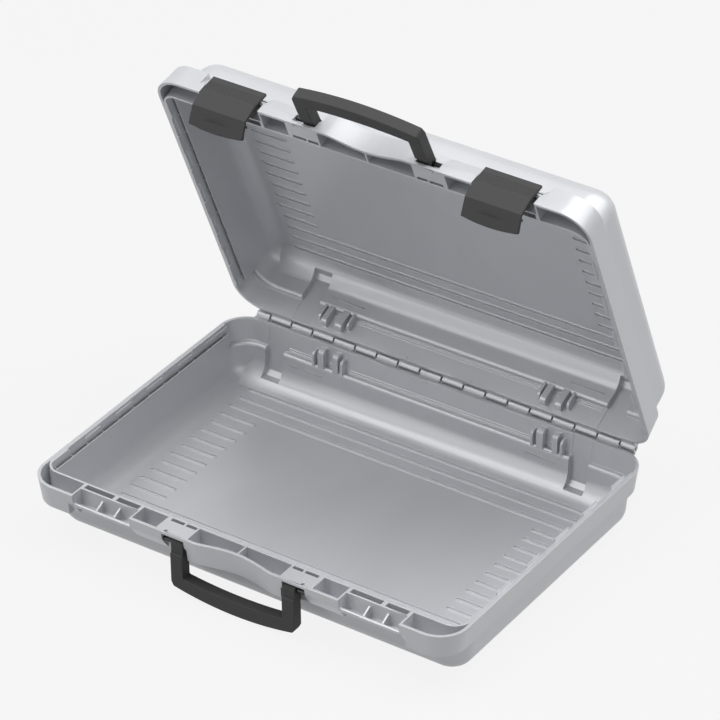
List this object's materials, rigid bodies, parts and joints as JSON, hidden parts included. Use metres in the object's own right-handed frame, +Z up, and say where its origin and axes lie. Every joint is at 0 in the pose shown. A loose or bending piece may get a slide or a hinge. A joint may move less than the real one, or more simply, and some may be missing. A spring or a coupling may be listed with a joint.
{
  "type": "plastic carrying case",
  "caption": "Flat moulded plastic carrying case standing open, with two matching hinged shells, folding handles, snap latches and grooved floors.",
  "frame": {"origin": "centre of the flat underside of the lower shell, which the case stands on", "axes": "+X to the case's right seen from the front, +Y to the hinge side, +Z up"},
  "size_m": [0.416, 0.3506, 0.3853],
  "materials": {
    "shell": "silver grey moulded plastic, satin",
    "black_plastic": "black moulded plastic, satin",
    "steel": "drawn steel wire"
  },
  "bodies": {
    "base": {"base_shell": "shell", "hinge_pin": "steel", "base_handle_pin_left": "steel", "base_handle_pin_right": "steel"},
    "lid": {"lid_shell": "shell", "lid_handle_pin_left": "steel", "lid_handle_pin_right": "steel"},
    "base_handle": {"base_handle": "black_plastic"},
    "lid_handle": {"lid_handle": "black_plastic"},
    "latch_left": {"latch_left": "black_plastic"},
    "latch_right": {"latch_right": "black_plastic"}
  },
  "joints": [
    {"name": "lid_hinge", "type": "hinge", "parent": "base", "child": "lid", "pos_m": [0, 0.1485, 0.05665], "axis": [-1, 0, 0], "range_deg": [-68, 112]},
    {"name": "base_handle_pivot", "type": "hinge", "parent": "base", "child": "base_handle", "pos_m": [0, -0.1549, 0.0475], "axis": [-1, 0, 0], "range_deg": [0, 93]},
    {"name": "lid_handle_pivot", "type": "hinge", "parent": "lid", "child": "lid_handle", "pos_m": [0, 0.04333, 0.34139], "axis": [1, 0, 0], "range_deg": [-93, 0]},
    {"name": "latch_left_pivot", "type": "hinge", "parent": "lid", "child": "latch_left", "pos_m": [-0.131, 0.04427, 0.34306], "axis": [-1, 0, 0], "range_deg": [0, 40]},
    {"name": "latch_right_pivot", "type": "hinge", "parent": "lid", "child": "latch_right", "pos_m": [0.131, 0.04427, 0.34306], "axis": [-1, 0, 0], "range_deg": [0, 40]}
  ]
}
